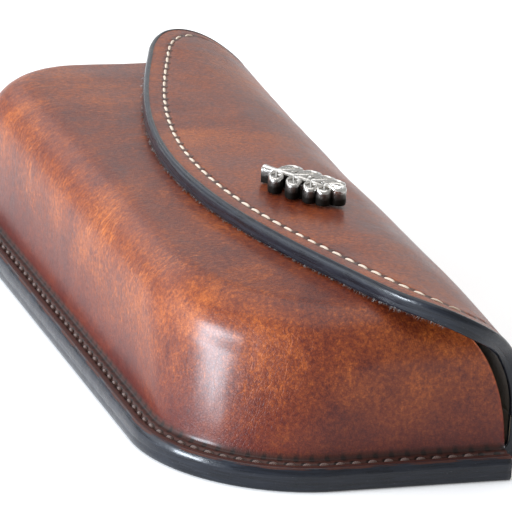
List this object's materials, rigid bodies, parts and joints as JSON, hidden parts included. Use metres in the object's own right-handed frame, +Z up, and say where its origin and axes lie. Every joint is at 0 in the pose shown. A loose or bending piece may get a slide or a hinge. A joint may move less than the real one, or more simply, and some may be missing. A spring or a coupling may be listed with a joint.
{
  "type": "eyeglasses case",
  "caption": "Moulded leather eyeglasses case with a stitched flange, a wrap-over flap on leather hinges and a magnetic clasp under an openwork ornament.",
  "frame": {"origin": "centre of the footprint, on the flat back that the case lies on", "axes": "+X along the case's length, +Y from the closed long side to the mouth, +Z up from the back to the moulded front"},
  "size_m": [0.165, 0.0676, 0.0379],
  "materials": {
    "leather": "oiled, marbled brown, black burnished edges",
    "suede_lining": "olive brown suede",
    "brown_thread": "waxed thread",
    "cream_thread": "waxed thread",
    "clasp_steel": "nickel plated",
    "aged_silver": "antiqued, dark in the recesses"
  },
  "bodies": {
    "base": {"back_leather": "leather", "back_lining": "suede_lining", "shell_leather": "leather", "shell_lining": "suede_lining", "flange_thread": "brown_thread", "shell_keeper_disc": "clasp_steel"},
    "spine": {"spine_leather": "leather", "spine_lining": "suede_lining"},
    "flap": {"flap_leather": "leather", "flap_lining": "suede_lining", "flap_thread": "cream_thread", "flap_magnet_ring": "clasp_steel", "ornament_screw": "clasp_steel", "ornament": "aged_silver"}
  },
  "joints": [
    {"name": "spine_hinge", "type": "hinge", "parent": "base", "child": "spine", "pos_m": [0, 0.03234, 0.00146], "axis": [-1, 0, 0], "range_deg": [0, 70]},
    {"name": "flap_hinge", "type": "hinge", "parent": "spine", "child": "flap", "pos_m": [0, 0.02677, 0.02737], "axis": [-1, 0, 0], "range_deg": [0, 85]}
  ]
}
